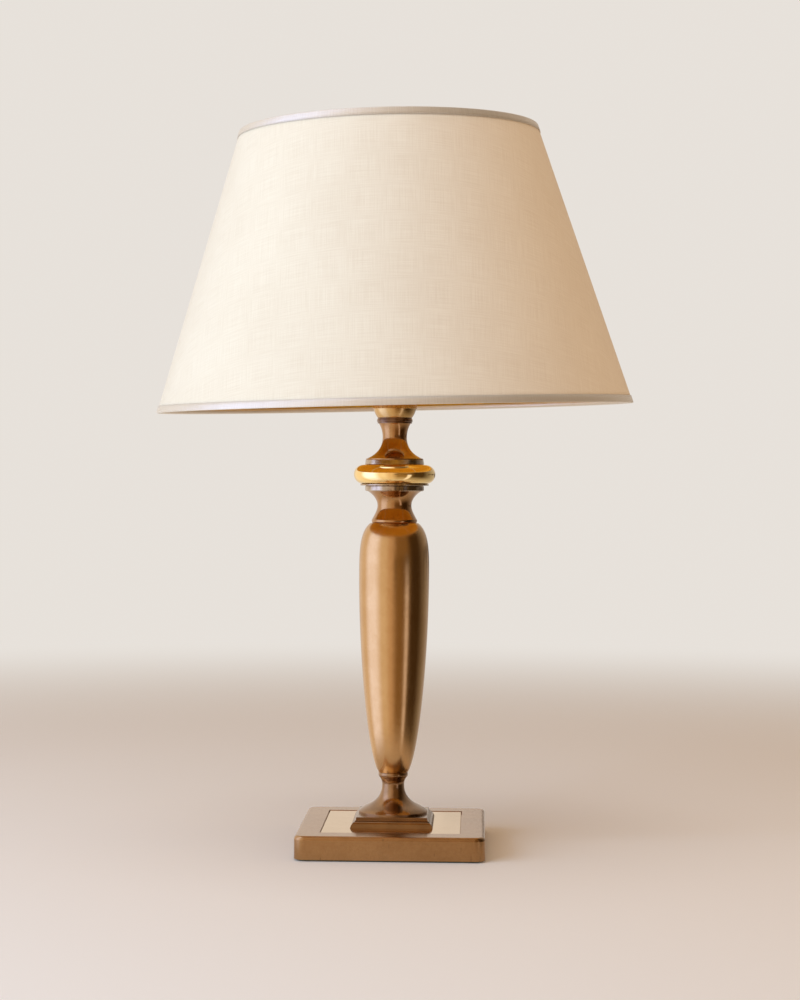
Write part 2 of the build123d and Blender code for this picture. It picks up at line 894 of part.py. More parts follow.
pieces = {
    "felt_pad": felt_pad(),
    "base_board": base_board(),
    "base_shell": base_shell(),
    "base_weight": base_weight(),
    "inlay_panel": inlay_panel(),
    "inlet_bush": inlet_bush(),
    "rod_washer": rod_washer(),
    "rod_nut": rod_nut(),
    "threaded_rod": threaded_rod(),
    "plinth": plinth(),
    "bell_foot": bell_foot(),
    "foot_ring": foot_ring(),
    "vase_column": vase_column(),
    "lower_neck": lower_neck(),
    "fillet_disc": fillet_disc(),
    "thin_disc": thin_disc(),
    "gold_ring": gold_ring(),
    "upper_disc": upper_disc(),
    "upper_neck": upper_neck(),
    "check_ring": check_ring(),
    "holder_dome": holder_dome(),
    "holder_shell": holder_shell(),
    "holder_insulator": holder_insulator(),
    "screw_sleeve": screw_sleeve(),
    "centre_contact": centre_contact(),
    "terminal_screws": terminal_screws(),
    "shade_ring": shade_ring(),
    "bulb_tip": bulb_tip(),
    "bulb_insulator": bulb_insulator(),
    "bulb_cap": bulb_cap(),
    "bulb_glass": bulb_glass(),
    "shade_washer": shade_washer(),
    "shade_arms": shade_arms(),
    "bottom_wire": wire_hoop(False, wire_radius),
    "top_wire": wire_hoop(True, wire_radius),
    "shade_cover": shade_cover(),
    "shade_lining": shade_lining(),
    "bottom_binding": bottom_binding(),
    "top_binding": binding(True),
}

os.makedirs("parts", exist_ok=True)
for name, piece in pieces.items():
    export_step(piece, f"parts/{name}.step")
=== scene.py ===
"""Candlestick table lamp: its finishes, soft pieces and threads, with a plain studio round it.

Metres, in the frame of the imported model: +Z up, -Y the front, the column on the Z axis.
"""

import logging
import math
from collections.abc import Callable
from dataclasses import dataclass
from enum import Enum

import bmesh
import bpy
from mathutils import Matrix, Vector, noise


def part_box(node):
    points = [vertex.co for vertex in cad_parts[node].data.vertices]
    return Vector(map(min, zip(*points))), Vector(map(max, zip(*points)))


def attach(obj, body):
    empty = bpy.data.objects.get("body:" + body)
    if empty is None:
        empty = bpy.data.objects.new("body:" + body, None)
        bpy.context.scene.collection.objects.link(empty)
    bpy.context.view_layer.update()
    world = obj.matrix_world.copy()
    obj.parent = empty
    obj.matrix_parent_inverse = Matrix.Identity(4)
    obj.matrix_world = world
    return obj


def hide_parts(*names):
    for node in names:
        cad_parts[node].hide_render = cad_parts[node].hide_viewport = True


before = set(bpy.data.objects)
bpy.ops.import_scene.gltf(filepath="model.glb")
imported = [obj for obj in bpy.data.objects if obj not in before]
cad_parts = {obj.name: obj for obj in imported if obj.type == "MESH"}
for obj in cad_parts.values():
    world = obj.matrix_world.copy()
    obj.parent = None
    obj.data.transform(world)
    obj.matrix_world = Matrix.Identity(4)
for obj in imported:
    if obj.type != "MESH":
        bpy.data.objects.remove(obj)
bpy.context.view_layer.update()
log = logging.getLogger("lamp")

MM = 0.001
FLAT_MAP = "flat"
Colour = tuple[float, float, float]
Point = tuple[float, float]


# ---------------------------------------------------------------- node trees


class Tree:
    """A node tree, with short calls that add nodes and join their sockets."""

    def __init__(self, tree: bpy.types.NodeTree) -> None:
        """Keep a material's, world's or group's node tree."""
        self.tree = tree

    def node(self, kind: str, inputs: dict | None = None, **settings: object) -> bpy.types.Node:
        """Add a node and fill in its inputs.

        Args:
            kind: the node's type, without the word ShaderNode.
            inputs: values or sockets by input name or number.
            settings: the node's own properties.

        Returns:
            The new node.
        """
        added = self.tree.nodes.new("ShaderNode" + kind)
        for name, value in settings.items():
            setattr(added, name, value)
        for key, value in (inputs or {}).items():
            self.fill(added.inputs[key], value)
        return added

    def fill(self, socket: bpy.types.NodeSocket, value: object) -> None:
        """Link a socket to another one, or set its value.

        Args:
            socket: the input to fill.
            value: a socket, a number, a vector or a colour without alpha.
        """
        if isinstance(value, bpy.types.NodeSocket):
            self.tree.links.new(value, socket)
        elif socket.type == "RGBA":
            socket.default_value = (*value, 1.0)
        else:
            socket.default_value = value

    def sum(self, operation: str, first: object, second: object = 0.0) -> bpy.types.NodeSocket:
        """Calculate with two numbers or sockets, by one of the Math node's operations."""
        return self.node("Math", {0: first, 1: second}, operation=operation).outputs[0]

    def span(self, value: object, low: float, high: float, out: Point = (0.0, 1.0)) -> bpy.types.NodeSocket:
        """Map a range smoothly and clamped to another one.

        Args:
            value: the number or socket to map.
            low: where the result starts.
            high: where the result ends.
            out: the results at low and high.

        Returns:
            The mapped value's socket.
        """
        inputs = {"Value": value, "From Min": low, "From Max": high, "To Min": out[0], "To Max": out[1]}
        return self.node("MapRange", inputs, interpolation_type="SMOOTHSTEP").outputs[0]

    def blend(self, share: object, first: object, second: object) -> bpy.types.NodeSocket:
        """Mix two colours or sockets, with the second one's share from 0 to 1."""
        mix = self.node("Mix", {"Factor": share}, data_type="RGBA")
        self.fill(mix.inputs[6], first)
        self.fill(mix.inputs[7], second)
        return mix.outputs[2]

    def noise(self, vector: object, scale: object, detail: float, **inputs: float) -> bpy.types.NodeSocket:
        """Noise from 0 to 1, with features by the metre and layers of detail."""
        given = {"Vector": vector, "Scale": scale, "Detail": detail, **inputs}
        return self.node("TexNoise", given).outputs["Fac"]

    def reach(self, place: bpy.types.Node) -> bpy.types.NodeSocket:
        """Distance from the Z axis, of a place split into its coordinates."""
        across, along = (self.sum("MULTIPLY", place.outputs[axis], place.outputs[axis]) for axis in "XY")
        return self.sum("SQRT", self.sum("ADD", across, along))

    def mixed(self, share: object, first: bpy.types.Node, second: bpy.types.Node) -> bpy.types.Node:
        """Mix two shaders, with the second one's share from 0 to 1."""
        return self.node("MixShader", {0: share, 1: first.outputs[0], 2: second.outputs[0]})

    def stretched(self, vector: object, scale: tuple[float, float, float]) -> bpy.types.NodeSocket:
        """Scale coordinates by one factor for each axis."""
        return self.node("VectorMath", {0: vector, 1: scale}, operation="MULTIPLY").outputs[0]


class Effect(Enum):
    """A surface effect that several finishes share, by its node group's name."""

    PATINA = "Patina clouds"
    PITS = "Scattered pits"
    TURNING = "Turning lines"
    BRUSHING = "Brush lines"
    SCRATCHES = "Upright scratches"
    WEAVE = "Plain weave"


class EffectLibrary:
    """Builds each shared effect once, as a shader node group."""

    def __init__(self) -> None:
        """Build every group."""
        self.groups = {
            Effect.PATINA: self.patina(),
            Effect.PITS: self.pits(),
            Effect.TURNING: self.turning(),
            Effect.BRUSHING: self.brushing(),
            Effect.SCRATCHES: self.scratches(),
            Effect.WEAVE: self.weave(),
        }

    def new_group(
        self, effect: Effect, numbers: dict[str, float], outputs: list[str]
    ) -> tuple[Tree, dict, bpy.types.Node]:
        """Start a group that takes a Vector and some numbers, and puts out numbers.

        Args:
            effect: the effect that the group is for.
            numbers: each number's input name and default.
            outputs: the output names.

        Returns:
            The group's tree, its inputs by name and its output node.
        """
        group = bpy.data.node_groups.new(effect.value, "ShaderNodeTree")
        group.interface.new_socket("Vector", in_out="INPUT", socket_type="NodeSocketVector")
        for name, value in numbers.items():
            socket = group.interface.new_socket(name, in_out="INPUT", socket_type="NodeSocketFloat")
            socket.default_value = value
        for name in outputs:
            group.interface.new_socket(name, in_out="OUTPUT", socket_type="NodeSocketFloat")
        tree = Tree(group)
        entry = group.nodes.new("NodeGroupInput")
        leave = group.nodes.new("NodeGroupOutput")
        return tree, {socket.name: socket for socket in entry.outputs}, leave

    def patina(self) -> bpy.types.NodeTree:
        """Soft clouds of tarnish, and a finer mottling inside them."""
        tree, given, leave = self.new_group(Effect.PATINA, {"Scale": 30.0}, ["Clouds", "Mottle"])
        clouds = tree.noise(given["Vector"], given["Scale"], 5.0, Roughness=0.6)
        fine = tree.sum("MULTIPLY", given["Scale"], 11.0)
        mottle = tree.noise(given["Vector"], fine, 3.0, Roughness=0.7)
        tree.fill(leave.inputs["Clouds"], tree.span(clouds, 0.34, 0.66))
        tree.fill(leave.inputs["Mottle"], tree.span(mottle, 0.3, 0.7))
        return tree.tree

    def pits(self) -> bpy.types.NodeTree:
        """Small round pits and specks, in a share of the cells only."""
        numbers = {"Scale": 300.0, "Share": 0.3, "Size": 0.2}
        tree, given, leave = self.new_group(Effect.PITS, numbers, ["Mask"])
        cells = tree.node("TexVoronoi", {"Vector": given["Vector"], "Scale": given["Scale"]})
        picked = tree.node("SeparateColor", {0: cells.outputs["Color"]})
        chosen = tree.sum("LESS_THAN", picked.outputs[0], given["Share"])
        size = tree.sum("MULTIPLY", given["Size"], picked.outputs[1])
        depth = tree.sum("SUBTRACT", size, cells.outputs["Distance"])
        edge = tree.span(depth, 0.0, 0.06)
        tree.fill(leave.inputs["Mask"], tree.sum("MULTIPLY", edge, chosen))
        return tree.tree

    def turning(self) -> bpy.types.NodeTree:
        """Fine lines round the Z axis, as a lathe leaves them."""
        tree, given, leave = self.new_group(Effect.TURNING, {"Density": 1500.0}, ["Height"])
        place = tree.node("SeparateXYZ", {0: given["Vector"]})
        level = tree.node("CombineXYZ", {"X": tree.reach(place), "Z": place.outputs["Z"]})
        tree.fill(leave.inputs["Height"], tree.noise(level.outputs[0], given["Density"], 2.0))
        return tree.tree

    def brushing(self) -> bpy.types.NodeTree:
        """Fine straight lines along X, as a belt leaves them."""
        tree, given, leave = self.new_group(Effect.BRUSHING, {"Density": 2500.0}, ["Height"])
        run = tree.stretched(given["Vector"], (0.03, 1.0, 1.0))
        tree.fill(leave.inputs["Height"], tree.noise(run, given["Density"], 3.0))
        return tree.tree

    def scratches(self) -> bpy.types.NodeTree:
        """Short, thin, upright scratches, in a few places only."""
        tree, given, leave = self.new_group(Effect.SCRATCHES, {"Scale": 700.0}, ["Mask"])
        upright = tree.stretched(given["Vector"], (1.0, 1.0, 0.07))
        thin = tree.span(tree.noise(upright, given["Scale"], 1.0), 0.68, 0.76)
        handled = tree.span(tree.noise(given["Vector"], 120.0, 1.0), 0.5, 0.62)
        tree.fill(leave.inputs["Mask"], tree.sum("MULTIPLY", thin, handled))
        return tree.tree

    def weave(self) -> bpy.types.NodeTree:
        """Plain weave in the cloth's own flat metres, with slubs and uneven threads."""
        numbers = {"Warp": 1800.0, "Weft": 1800.0, "Slub": 0.25}
        tree, given, leave = self.new_group(Effect.WEAVE, numbers, ["Height", "Tone"])
        flat = tree.node("SeparateXYZ", {0: given["Vector"]})
        threads = {}
        for name, along, stretch in (("Warp", "X", (6.0, 1.0, 1.0)), ("Weft", "Y", (1.0, 6.0, 1.0))):
            wander = tree.noise(tree.stretched(given["Vector"], stretch), 60.0, 3.0)
            shift = tree.sum("MULTIPLY", wander, given["Slub"])
            count = tree.sum("MULTIPLY", flat.outputs[along], given[name])
            threads[name] = tree.sum("ADD", count, tree.sum("MULTIPLY", shift, 8.0))
        crowns = {}
        for name, count in threads.items():
            turn = tree.sum("MULTIPLY", tree.sum("FRACT", count), math.pi)
            crowns[name] = tree.sum("SINE", turn)
        steps = tree.sum("ADD", tree.sum("FLOOR", threads["Warp"]), tree.sum("FLOOR", threads["Weft"]))
        over = tree.sum("FLOORED_MODULO", steps, 2.0)
        lower = tree.sum("MULTIPLY", crowns["Warp"], tree.sum("SUBTRACT", 1.0, over))
        upper = tree.sum("MULTIPLY", crowns["Weft"], over)
        tree.fill(leave.inputs["Height"], tree.sum("ADD", lower, upper))
        tones = [
            tree.noise(tree.stretched(given["Vector"], along), given[name], 2.0)
            for name, along in (("Warp", (1.0, 0.02, 0.0)), ("Weft", (0.02, 1.0, 0.0)))
        ]
        tree.fill(leave.inputs["Tone"], tree.sum("MULTIPLY", tree.sum("ADD", *tones), 0.5))
        return tree.tree

    def place(self, tree: Tree, effect: Effect, vector: object, **numbers: float) -> bpy.types.Node:
        """Place an effect's group in a material.

        Args:
            tree: the material's tree.
            effect: which effect.
            vector: the coordinates that it follows.
            numbers: the group's number inputs.

        Returns:
            The group's node.
        """
        placed = tree.tree.nodes.new("ShaderNodeGroup")
        placed.node_tree = self.groups[effect]
        tree.fill(placed.inputs["Vector"], vector)
        for name, value in numbers.items():
            tree.fill(placed.inputs[name], value)
        return placed


effects = EffectLibrary()


def new_material(
    name: str, constants: dict[str, object]
) -> tuple[bpy.types.Material, Tree, bpy.types.Node]:
    """Start a material on one Principled shader.

    Args:
        name: the material's name.
        constants: the shader inputs that are the same all over.

    Returns:
        The material, its tree and its shader.
    """
    material = bpy.data.materials.new(name)
    material.use_nodes = True
    tree = Tree(material.node_tree)
    shader = material.node_tree.nodes["Principled BSDF"]
    for key, value in constants.items():
        tree.fill(shader.inputs[key], value)
    return material, tree, shader


def relief(tree: Tree, shader: bpy.types.Node, height: object, depth: float) -> None:
    """Give a shader a bumped normal.

    Args:
        tree: the material's tree.
        shader: the shader that gets the normal.
        height: the height's socket, from 0 to 1.
        depth: the height of 1, in metres.
    """
    bump = tree.node("Bump", {"Height": height, "Distance": depth, "Strength": 1.0})
    tree.fill(shader.inputs["Normal"], bump.outputs[0])


def object_place(tree: Tree) -> bpy.types.NodeSocket:
    """Coordinates on the object, in metres of the lamp's frame."""
    return tree.node("TexCoord").outputs["Object"]


# ---------------------------------------------------------------- finishes


class Tooling(Enum):
    """How a metal piece was worked."""

    TURNED = "turned"
    BRUSHED = "brushed"


@dataclass(frozen=True)
class Brass:
    """Brass with tarnish, tool lines, scratches and pits, under lacquer."""

    name: str
    metal: Colour
    tarnish: Colour
    tarnish_share: float
    roughness: float
    spread: float = 0.06
    cloud_scale: float = 60.0
    tooling: Tooling = Tooling.TURNED
    line_depth: float = 0.0015 * MM
    pit_share: float = 0.05
    pit_scale: float = 380.0
    pit_depth: float = 0.006 * MM
    scratched: float = 0.25
    coat: float = 0.25
    coat_roughness: float = 0.08

    def material(self) -> bpy.types.Material:
        """Build the material."""
        constants = {"Metallic": 1.0, "Coat Weight": self.coat, "Coat Roughness": self.coat_roughness}
        material, tree, shader = new_material(self.name, constants)
        place = object_place(tree)
        patina = effects.place(tree, Effect.PATINA, place, Scale=self.cloud_scale)
        pits = effects.place(tree, Effect.PITS, place, Scale=self.pit_scale, Share=self.pit_share)
        tool = Effect.TURNING if self.tooling is Tooling.TURNED else Effect.BRUSHING
        lines = effects.place(tree, tool, place)
        scratches = effects.place(tree, Effect.SCRATCHES, place)
        marks = tree.sum("MULTIPLY", scratches.outputs["Mask"], self.scratched)
        marks = tree.sum("MAXIMUM", marks, pits.outputs["Mask"])
        clouds = tree.sum("MULTIPLY", patina.outputs["Clouds"], self.tarnish_share)
        mottle = tree.sum("MULTIPLY", patina.outputs["Mottle"], self.tarnish_share * 0.4)
        share = tree.sum("ADD", clouds, mottle)
        colour = tree.blend(share, self.metal, self.tarnish)
        dark = tuple(part * 0.3 for part in self.tarnish)
        tree.fill(shader.inputs["Base Color"], tree.blend(marks, colour, dark))
        uneven = tree.sum("MULTIPLY", patina.outputs["Mottle"], self.spread)
        scored = tree.sum("MULTIPLY", lines.outputs["Height"], self.spread * 0.5)
        rough = tree.sum("ADD", tree.sum("ADD", uneven, scored), self.roughness - 0.6 * self.spread)
        tree.fill(shader.inputs["Roughness"], rough)
        sunk = tree.sum("MULTIPLY", marks, self.pit_depth / self.line_depth)
        relief(tree, shader, tree.sum("SUBTRACT", lines.outputs["Height"], sunk), self.line_depth)
        return material


@dataclass(frozen=True)
class Plain:
    """A moulded, enamelled, plated or cast surface, with fine relief and a little mottling."""

    name: str
    colour: Colour
    roughness: float
    metallic: float = 0.0
    shade: float = 0.82
    grain_scale: float = 45.0
    grain_depth: float = 0.02 * MM
    coat: float = 0.0

    def material(self) -> bpy.types.Material:
        """Build the material."""
        constants = {"Metallic": self.metallic, "Coat Weight": self.coat}
        material, tree, shader = new_material(self.name, constants)
        patina = effects.place(tree, Effect.PATINA, object_place(tree), Scale=self.grain_scale)
        deep = tuple(part * self.shade for part in self.colour)
        tree.fill(shader.inputs["Base Color"], tree.blend(patina.outputs["Clouds"], self.colour, deep))
        rough = tree.span(patina.outputs["Mottle"], 0.0, 1.0, (self.roughness * 0.85, self.roughness * 1.15))
        tree.fill(shader.inputs["Roughness"], rough)
        relief(tree, shader, patina.outputs["Mottle"], self.grain_depth)
        return material


@dataclass(frozen=True)
class Cloth:
    """Woven cloth that follows its piece's own flat UV metres."""

    name: str
    colour: Colour
    thread: Colour
    warp: float
    weft: float
    slub: float
    depth: float
    sheen: float = 0.15
    roughness: float = 0.85
    lustre: float = 0.0

    def material(self) -> bpy.types.Material:
        """Build the material."""
        constants = {
            "Roughness": self.roughness,
            "Sheen Weight": self.sheen,
            "Specular IOR Level": 0.3,
            "Metallic": self.lustre,
        }
        material, tree, shader = new_material(self.name, constants)
        flat = tree.node("UVMap", uv_map=FLAT_MAP).outputs[0]
        weave = effects.place(tree, Effect.WEAVE, flat, Warp=self.warp, Weft=self.weft, Slub=self.slub)
        worn = effects.place(tree, Effect.PATINA, flat, Scale=14.0)
        tone = tree.span(weave.outputs["Tone"], 0.35, 0.65)
        deep = tree.sum("MULTIPLY", worn.outputs["Clouds"], 0.25)
        share = tree.sum("ADD", tree.sum("MULTIPLY", tone, 0.75), deep)
        tree.fill(shader.inputs["Base Color"], tree.blend(share, self.colour, self.thread))
        relief(tree, shader, weave.outputs["Height"], self.depth)
        return material


@dataclass(frozen=True)
class Film:
    """Metallised film, slightly crinkled where it is stuck down."""

    name: str
    colour: Colour
    roughness: float = 0.34
    metallic: float = 0.15

    def material(self) -> bpy.types.Material:
        """Build the material."""
        material, tree, shader = new_material(self.name, {"Metallic": self.metallic})
        flat = tree.node("UVMap", uv_map=FLAT_MAP).outputs[0]
        crinkle = effects.place(tree, Effect.PATINA, flat, Scale=60.0)
        deep = tuple(part * 0.8 for part in self.colour)
        tree.fill(shader.inputs["Base Color"], tree.blend(crinkle.outputs["Clouds"], self.colour, deep))
        rough = tree.span(crinkle.outputs["Mottle"], 0.0, 1.0, (self.roughness - 0.08, self.roughness + 0.1))
        tree.fill(shader.inputs["Roughness"], rough)
        relief(tree, shader, crinkle.outputs["Clouds"], 0.08 * MM)
        return material


BASE_BRASS = Brass(
    "base_brass_worn", (0.44, 0.25, 0.105), (0.33, 0.175, 0.065), 0.5, 0.22,
    cloud_scale=32.0, tooling=Tooling.BRUSHED, pit_share=0.1, scratched=0.7,
)
PLINTH_BRASS = Brass("plinth_brass_worn", (0.30, 0.17, 0.07), (0.20, 0.105, 0.04), 0.5, 0.2)
AGED_BRASS = Brass("aged_brass", (0.37, 0.21, 0.10), (0.22, 0.12, 0.05), 0.5, 0.2, cloud_scale=110.0)
DISC_BRASS = Brass("disc_bronze", (0.58, 0.47, 0.35), (0.20, 0.12, 0.065), 0.5, 0.09, cloud_scale=150.0)
CHECK_BRASS = Brass("check_ring_copper", (0.29, 0.18, 0.12), (0.15, 0.08, 0.04), 0.5, 0.13)
COLUMN_BRASS = Brass(
    "column_brass_satin", (0.61, 0.375, 0.165), (0.54, 0.31, 0.12), 0.5, 0.2,
    spread=0.05, pit_share=0.015, scratched=0.1,
)
NECK_BRASS = Brass("neck_brass_satin", (0.48, 0.265, 0.105), (0.33, 0.155, 0.05), 0.5, 0.13, pit_share=0.03)
RING_BRASS = Brass(
    "ring_brass_polished", (1.0, 0.74, 0.33), (0.97, 0.68, 0.26), 0.3, 0.04,
    spread=0.02, line_depth=0.0004 * MM, pit_share=0.01, pit_depth=0.0008 * MM, scratched=0.0, coat=0.0,
)
HOLDER_BRASS = Brass(
    "holder_brass_satin", (0.66, 0.42, 0.165), (0.49, 0.30, 0.105), 0.4, 0.22, pit_share=0.02
)
CONTACT_BRASS = Brass("contact_brass_bright", (0.86, 0.68, 0.34), (0.70, 0.50, 0.22), 0.3, 0.25, coat=0.0)
INLAY_BRASS = Brass(
    "inlay_brass_pale", (0.78, 0.57, 0.33), (0.70, 0.49, 0.26), 0.4, 0.1,
    spread=0.03, tooling=Tooling.BRUSHED, line_depth=0.0004 * MM, pit_share=0.01, pit_depth=0.001 * MM,
    scratched=0.1, coat=0.1,
)
STEEL = Plain("steel_plated", (0.62, 0.61, 0.58), 0.34, metallic=1.0)
IRON = Plain("iron_cast", (0.09, 0.085, 0.08), 0.65, metallic=0.6, grain_scale=90.0, grain_depth=0.15 * MM)
BOARD = Plain("board_fibre", (0.30, 0.21, 0.13), 0.9, grain_scale=120.0, grain_depth=0.08 * MM)
RUBBER = Plain("rubber_moulded", (0.03, 0.03, 0.03), 0.55, grain_scale=80.0)
CERAMIC = Plain("ceramic_unglazed", (0.80, 0.77, 0.70), 0.55, shade=0.93, grain_scale=70.0)
ENAMEL = Plain("enamel_white", (0.78, 0.76, 0.71), 0.3, shade=0.92, coat=0.4)
OPAL_GLASS = Plain("glass_opal", (0.90, 0.89, 0.85), 0.16, shade=0.97, grain_depth=0.002 * MM, coat=0.6)
BLACK_GLASS = Plain("glass_black", (0.012, 0.012, 0.012), 0.2, grain_depth=0.01 * MM)
CAP_METAL = Plain("cap_aluminium", (0.72, 0.72, 0.71), 0.26, metallic=1.0, shade=0.9)
SOLDER = Plain("solder", (0.45, 0.45, 0.46), 0.42, metallic=1.0, grain_scale=300.0, grain_depth=0.05 * MM)
COVER_CLOTH = Cloth(
    "cover_cotton", (0.835, 0.755, 0.655), (0.75, 0.655, 0.55), 1900.0, 1750.0, 0.3, 0.05 * MM
)
BINDING_CLOTH = Cloth(
    "binding_ribbon", (0.76, 0.69, 0.60), (0.67, 0.59, 0.50), 3200.0, 1300.0, 0.1, 0.03 * MM,
    sheen=0.4, roughness=0.36, lustre=0.55,
)
FELT_CLOTH = Cloth(
    "felt_wool", (0.045, 0.055, 0.04), (0.022, 0.028, 0.02), 900.0, 700.0, 2.5, 0.15 * MM, sheen=0.5
)
LINING_FILM = Film("lining_gold_film", (1.0, 0.64, 0.08))


# ---------------------------------------------------------------- meshes


def spun(
    outline: list[Point], steps: int, closed: bool = False, angle: float = 2 * math.pi
) -> bmesh.types.BMesh:
    """Spin an outline about the Z axis, starting at the back.

    Args:
        outline: (radius, height) points.
        steps: how many steps the spin takes.
        closed: whether the outline's last point joins its first.
        angle: how far to spin. A full turn is merged.

    Returns:
        The new mesh, with its faces pointing outwards.
    """
    shape = bmesh.new()
    points = [shape.verts.new((0, radius, height)) for radius, height in outline]
    ends = points[1:] + points[:1] if closed else points[1:]
    edges = [shape.edges.new(pair) for pair in zip(points, ends)]
    full = angle >= 2 * math.pi
    bmesh.ops.spin(
        shape, geom=points + edges, axis=(0, 0, 1), cent=(0, 0, 0), angle=angle, steps=steps, use_merge=full
    )
    bmesh.ops.recalc_face_normals(shape, faces=shape.faces)
    return shape


def arc(centre: Point, radius: float, start: float, end: float, steps: int) -> list[Point]:
    """Points of an arc.

    Args:
        centre: the arc's centre.
        radius: its radius.
        start: its first angle in degrees.
        end: its last angle in degrees.
        steps: how many steps it takes.

    Returns:
        The points, both ends included.
    """
    turns = [math.radians(start + (end - start) * step / steps) for step in range(steps + 1)]
    return [(centre[0] + radius * math.cos(turn), centre[1] + radius * math.sin(turn)) for turn in turns]


def settle(shape: bmesh.types.BMesh, name: str, finish: bpy.types.Material) -> bpy.types.Object:
    """Turn a finished bmesh into a smooth object with one material.

    Args:
        shape: the mesh, which is freed.
        name: the object's name.
        finish: its material.

    Returns:
        The new object.
    """
    for face in shape.faces:
        face.smooth = True
    mesh = bpy.data.meshes.new(name)
    shape.to_mesh(mesh)
    shape.free()
    piece = bpy.data.objects.new(name, mesh)
    bpy.context.scene.collection.objects.link(piece)
    mesh.materials.append(finish)
    log.info("%s: %d faces", name, len(mesh.polygons))
    return piece


def thicken(piece: bpy.types.Object, thickness: float) -> None:
    """Give a skin its wall's thickness in metres, inwards."""
    solid = piece.modifiers.new("thickness", "SOLIDIFY")
    solid.thickness = thickness
    solid.offset = -1.0


def dress(finish: bpy.types.Material, *nodes: str) -> None:
    """Give CAD nodes, by name, a finish."""
    for node in nodes:
        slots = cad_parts[node].data.materials
        slots.clear()
        slots.append(finish)
        log.info("%s: %s", node, finish.name)


# ---------------------------------------------------------------- sub-assemblies


@dataclass
class Base:
    """Square weighted base with its inlay, felt and cord inlet."""

    corner_radius: float = 8.5 * MM
    felt_edge: float = 0.35 * MM

    def build(self) -> None:
        """Dress the base and lay the felt under it."""
        dress(BASE_BRASS.material(), "base_shell")
        dress(INLAY_BRASS.material(), "inlay_panel")
        dress(IRON.material(), "base_weight")
        dress(BOARD.material(), "base_board")
        dress(RUBBER.material(), "inlet_bush")
        dress(STEEL.material(), "rod_washer", "rod_nut", "threaded_rod")
        self.felt()

    def felt(self) -> None:
        """Felt with a soft cut edge, where the plain slab was."""
        low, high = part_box("felt_pad")
        size = high - low
        shape = bmesh.new()
        bmesh.ops.create_cube(shape, size=1.0)
        bmesh.ops.scale(shape, vec=size, verts=shape.verts)
        bmesh.ops.translate(shape, vec=(low + high) / 2, verts=shape.verts)
        for upright, offset, segments in ((True, self.corner_radius, 8), (False, self.felt_edge, 3)):
            edges = [
                edge for edge in shape.edges
                if (abs(edge.verts[0].co.z - edge.verts[1].co.z) > size.z / 2) is upright
            ]
            bmesh.ops.bevel(
                shape, geom=edges, offset=offset, segments=segments, profile=0.5, affect="EDGES",
                material=-1,
            )
        layer = shape.loops.layers.uv.new(FLAT_MAP)
        for loop in [loop for face in shape.faces for loop in face.loops]:
            loop[layer].uv = loop.vert.co.xy
        felt = settle(shape, "felt_under_base", FELT_CLOTH.material())
        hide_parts("felt_pad")
        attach(felt, "stand")


@dataclass
class Column:
    """The plinth and the turned pieces on it."""

    def build(self) -> None:
        """Dress the column's pieces."""
        dress(PLINTH_BRASS.material(), "plinth")
        dress(AGED_BRASS.material(), "bell_foot", "foot_ring")
        dress(DISC_BRASS.material(), "fillet_disc", "thin_disc", "upper_disc")
        dress(CHECK_BRASS.material(), "check_ring")
        dress(COLUMN_BRASS.material(), "vase_column")
        dress(NECK_BRASS.material(), "lower_neck", "upper_neck")
        dress(RING_BRASS.material(), "gold_ring")


@dataclass
class LampHolder:
    """The lamp holder, with the thread that its outside carries, and the shade ring."""

    thread_radius: float = 19.7 * MM
    thread_depth: float = 0.22 * MM
    thread_pitch: float = 2.0 * MM
    thread_length: float = 14.0 * MM
    thread_margin: float = 0.7 * MM
    steps_per_turn: int = 72

    def build(self) -> None:
        """Dress the holder and cut its thread."""
        brass = HOLDER_BRASS.material()
        dress(brass, "holder_dome", "holder_shell", "shade_ring")
        dress(CERAMIC.material(), "holder_insulator")
        dress(CONTACT_BRASS.material(), "screw_sleeve", "centre_contact")
        dress(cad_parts["rod_nut"].data.materials[0], "terminal_screws")
        self.thread(brass)

    def thread(self, finish: bpy.types.Material) -> None:
        """Raise the shell's outside thread as one ridge that winds up it, in the shell's finish."""
        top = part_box("holder_shell")[1].z - self.thread_margin
        turns = math.floor((self.thread_length - self.thread_pitch) / self.thread_pitch)
        bottom = top - (turns + 1) * self.thread_pitch
        half_width = self.thread_pitch * 0.42
        shape = bmesh.new()
        corners = [(0, -half_width), (self.thread_depth, 0), (0, half_width)]
        points = [
            shape.verts.new((0, self.thread_radius + out, bottom + self.thread_pitch / 2 + up))
            for out, up in corners
        ]
        shape.faces.new(points)
        steps = turns * self.steps_per_turn
        rise = Vector((0, 0, self.thread_pitch / self.steps_per_turn))
        bmesh.ops.spin(
            shape, geom=shape.faces[:] + shape.edges[:] + shape.verts[:], axis=(0, 0, 1), cent=(0, 0, 0),
            dvec=rise, angle=turns * 2 * math.pi, steps=steps,
        )
        bmesh.ops.recalc_face_normals(shape, faces=shape.faces)
        ridge = settle(shape, "holder_thread", finish)
        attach(ridge, "stand")


